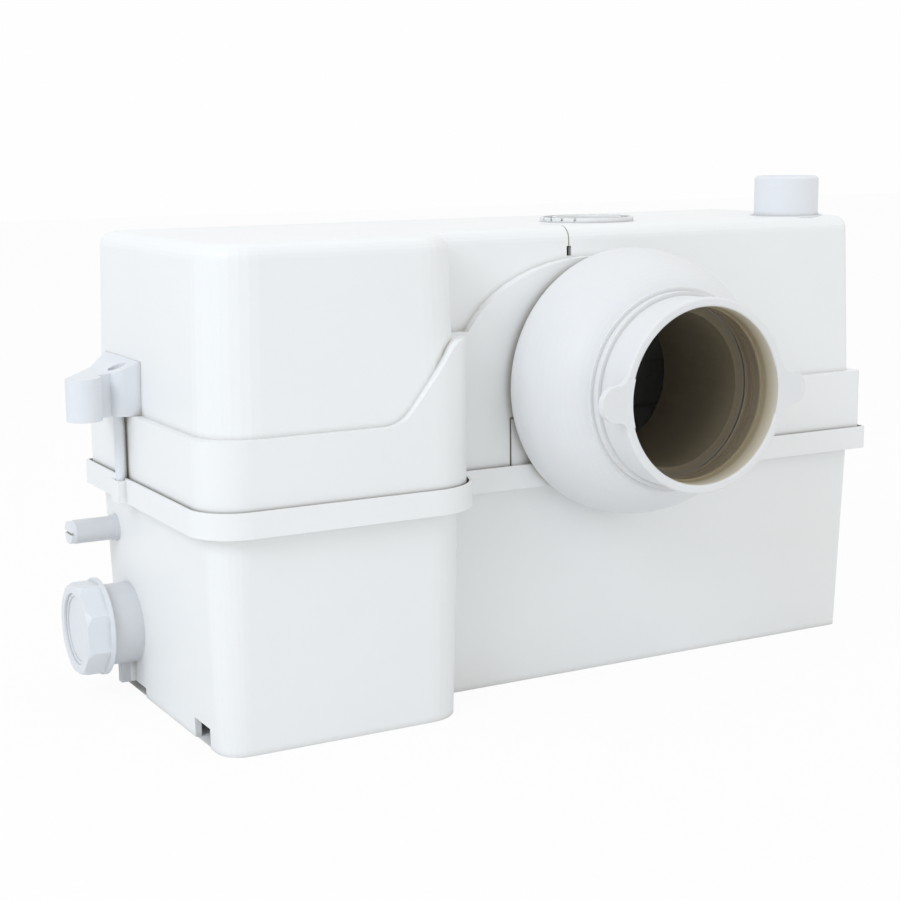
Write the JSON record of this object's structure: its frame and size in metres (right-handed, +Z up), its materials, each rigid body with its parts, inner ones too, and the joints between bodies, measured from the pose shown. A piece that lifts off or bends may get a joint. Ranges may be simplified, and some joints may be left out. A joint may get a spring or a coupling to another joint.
{
  "type": "macerator pump",
  "caption": "Floor-standing macerator pump with a belted casing, lift-off lid, rubber WC collar, side inlet cap and discharge spigot.",
  "frame": {"origin": "ground point under the middle of the whole unit's plan box", "axes": "+X along the casing towards the discharge end, +Y to the back wall, +Z up; the WC inlet faces -Y"},
  "size_m": [0.4884, 0.236, 0.284],
  "materials": {
    "white_plastic": "satin moulded",
    "light_grey_plastic": "satin moulded",
    "grey_plastic": "moulded",
    "taupe_plastic": "moulded",
    "black_plastic": "moulded",
    "white_rubber": "soft moulded",
    "black_rubber": "matte",
    "filter_carbon": "open foam",
    "steel": "bright",
    "motor_paint": "satin paint",
    "lamination_steel": "stacked sheet",
    "copper_wire": "enamelled wire"
  },
  "bodies": {
    "tank": {"tank": "white_plastic", "rim_gasket": "white_rubber", "tongue_seal": "white_rubber", "inlet_collar": "white_rubber", "nozzle_liner": "taupe_plastic", "inlet_clip": "steel", "side_flap_pin": "steel", "cable_gland": "black_rubber", "pump_feet": "black_rubber", "volute_casing": "grey_plastic", "suction_cover": "grey_plastic", "grinder_basket": "grey_plastic", "deck_plate": "steel", "deck_columns": "steel", "shaft_seal": "black_rubber", "motor_can": "motor_paint", "motor_cap": "motor_paint", "stator_core": "lamination_steel", "stator_windings": "copper_wire", "lower_bearing": "steel", "upper_bearing": "steel", "motor_screws": "steel", "capacitor": "white_plastic", "capacitor_cup": "white_plastic", "terminal_box": "grey_plastic", "terminal_lid": "grey_plastic", "pressure_bell": "grey_plastic", "membrane": "black_rubber", "membrane_cover": "grey_plastic", "switch_bracket": "steel", "microswitch": "black_plastic", "hose_coupling": "black_rubber", "hose_clips": "steel", "discharge_pipe": "grey_plastic", "valve_body": "grey_plastic", "flap_pin": "steel", "riser_pipe": "light_grey_plastic"},
    "lid": {"lid": "white_plastic", "carbon_filter": "filter_carbon", "riser_grommet": "white_rubber", "lid_clamp": "light_grey_plastic"},
    "tie_screw": {"tie_screw": "light_grey_plastic"},
    "vent_cap": {"vent_cap": "white_plastic"},
    "plug_set": {"side_washer": "black_rubber", "blanking_disc": "light_grey_plastic"},
    "cap_nut": {"side_cap_nut": "light_grey_plastic"},
    "drain_plug": {"drain_plug": "light_grey_plastic"},
    "rotor": {"motor_shaft": "steel", "rotor_core": "lamination_steel", "impeller": "grey_plastic", "cutter_blade": "steel"},
    "valve_flap": {"valve_flap": "black_rubber"},
    "side_flap": {"side_flap": "black_rubber"},
    "switch_pusher": {"switch_pusher": "grey_plastic"},
    "switch_lever": {"switch_lever": "steel"},
    "switch_plunger": {"switch_plunger": "white_plastic"}
  },
  "joints": [
    {"name": "lid_lift", "type": "slide", "parent": "tank", "child": "lid", "axis": [0, 0, 1], "range_m": [0, 0.3]},
    {"name": "tie_screw_turn", "type": "hinge", "parent": "lid", "child": "tie_screw", "pos_m": [-0.2118, 0.05025, 0.17], "axis": [0, 0, 1], "continuous": true},
    {"name": "vent_cap_turn", "type": "hinge", "parent": "lid", "child": "vent_cap", "pos_m": [0.06995, 0.02025, 0.259], "axis": [0, 0, 1], "range_deg": [0, 30]},
    {"name": "cap_nut_travel", "type": "slide", "parent": "tank", "child": "plug_set", "axis": [-1, 0, 0], "range_m": [0, 0.016]},
    {"name": "cap_nut_turn", "type": "hinge", "parent": "plug_set", "child": "cap_nut", "pos_m": [-0.22605, 0.07625, 0.0405], "axis": [-1, 0, 0], "range_deg": [0, 1440]},
    {"name": "drain_plug_pull", "type": "slide", "parent": "tank", "child": "drain_plug", "axis": [-1, 0, 0], "range_m": [0, 0.012]},
    {"name": "rotor_spin", "type": "hinge", "parent": "tank", "child": "rotor", "pos_m": [-0.12805, 0.03225, 0.12], "axis": [0, 0, 1], "continuous": true},
    {"name": "valve_flap_swing", "type": "hinge", "parent": "tank", "child": "valve_flap", "pos_m": [0.19145, 0.00225, 0.08496], "axis": [0, -1, 0], "range_deg": [0, 60]},
    {"name": "side_flap_swing", "type": "hinge", "parent": "tank", "child": "side_flap", "pos_m": [-0.19105, 0.07625, 0.0663], "axis": [0, -1, 0], "range_deg": [0, 30]},
    {"name": "pusher_travel", "type": "slide", "parent": "tank", "child": "switch_pusher", "axis": [0, 0, 1], "range_m": [0, 0.003], "stiffness_N_per_m": 400},
    {"name": "lever_swing", "type": "hinge", "parent": "tank", "child": "switch_lever", "pos_m": [-0.04605, 0.06425, 0.1586], "axis": [0, -1, 0], "range_deg": [0, 14.33]},
    {"name": "plunger_travel", "type": "slide", "parent": "tank", "child": "switch_plunger", "axis": [0, 0, 1], "range_m": [0, 0.0015]}
  ],
  "couplings": [
    {"joint": "cap_nut_travel", "follows": "cap_nut_turn", "m_per_rad": 0.00063662},
    {"joint": "lever_swing", "follows": "pusher_travel", "rad_per_m": 83.33},
    {"joint": "plunger_travel", "follows": "pusher_travel", "ratio": 0.5}
  ]
}
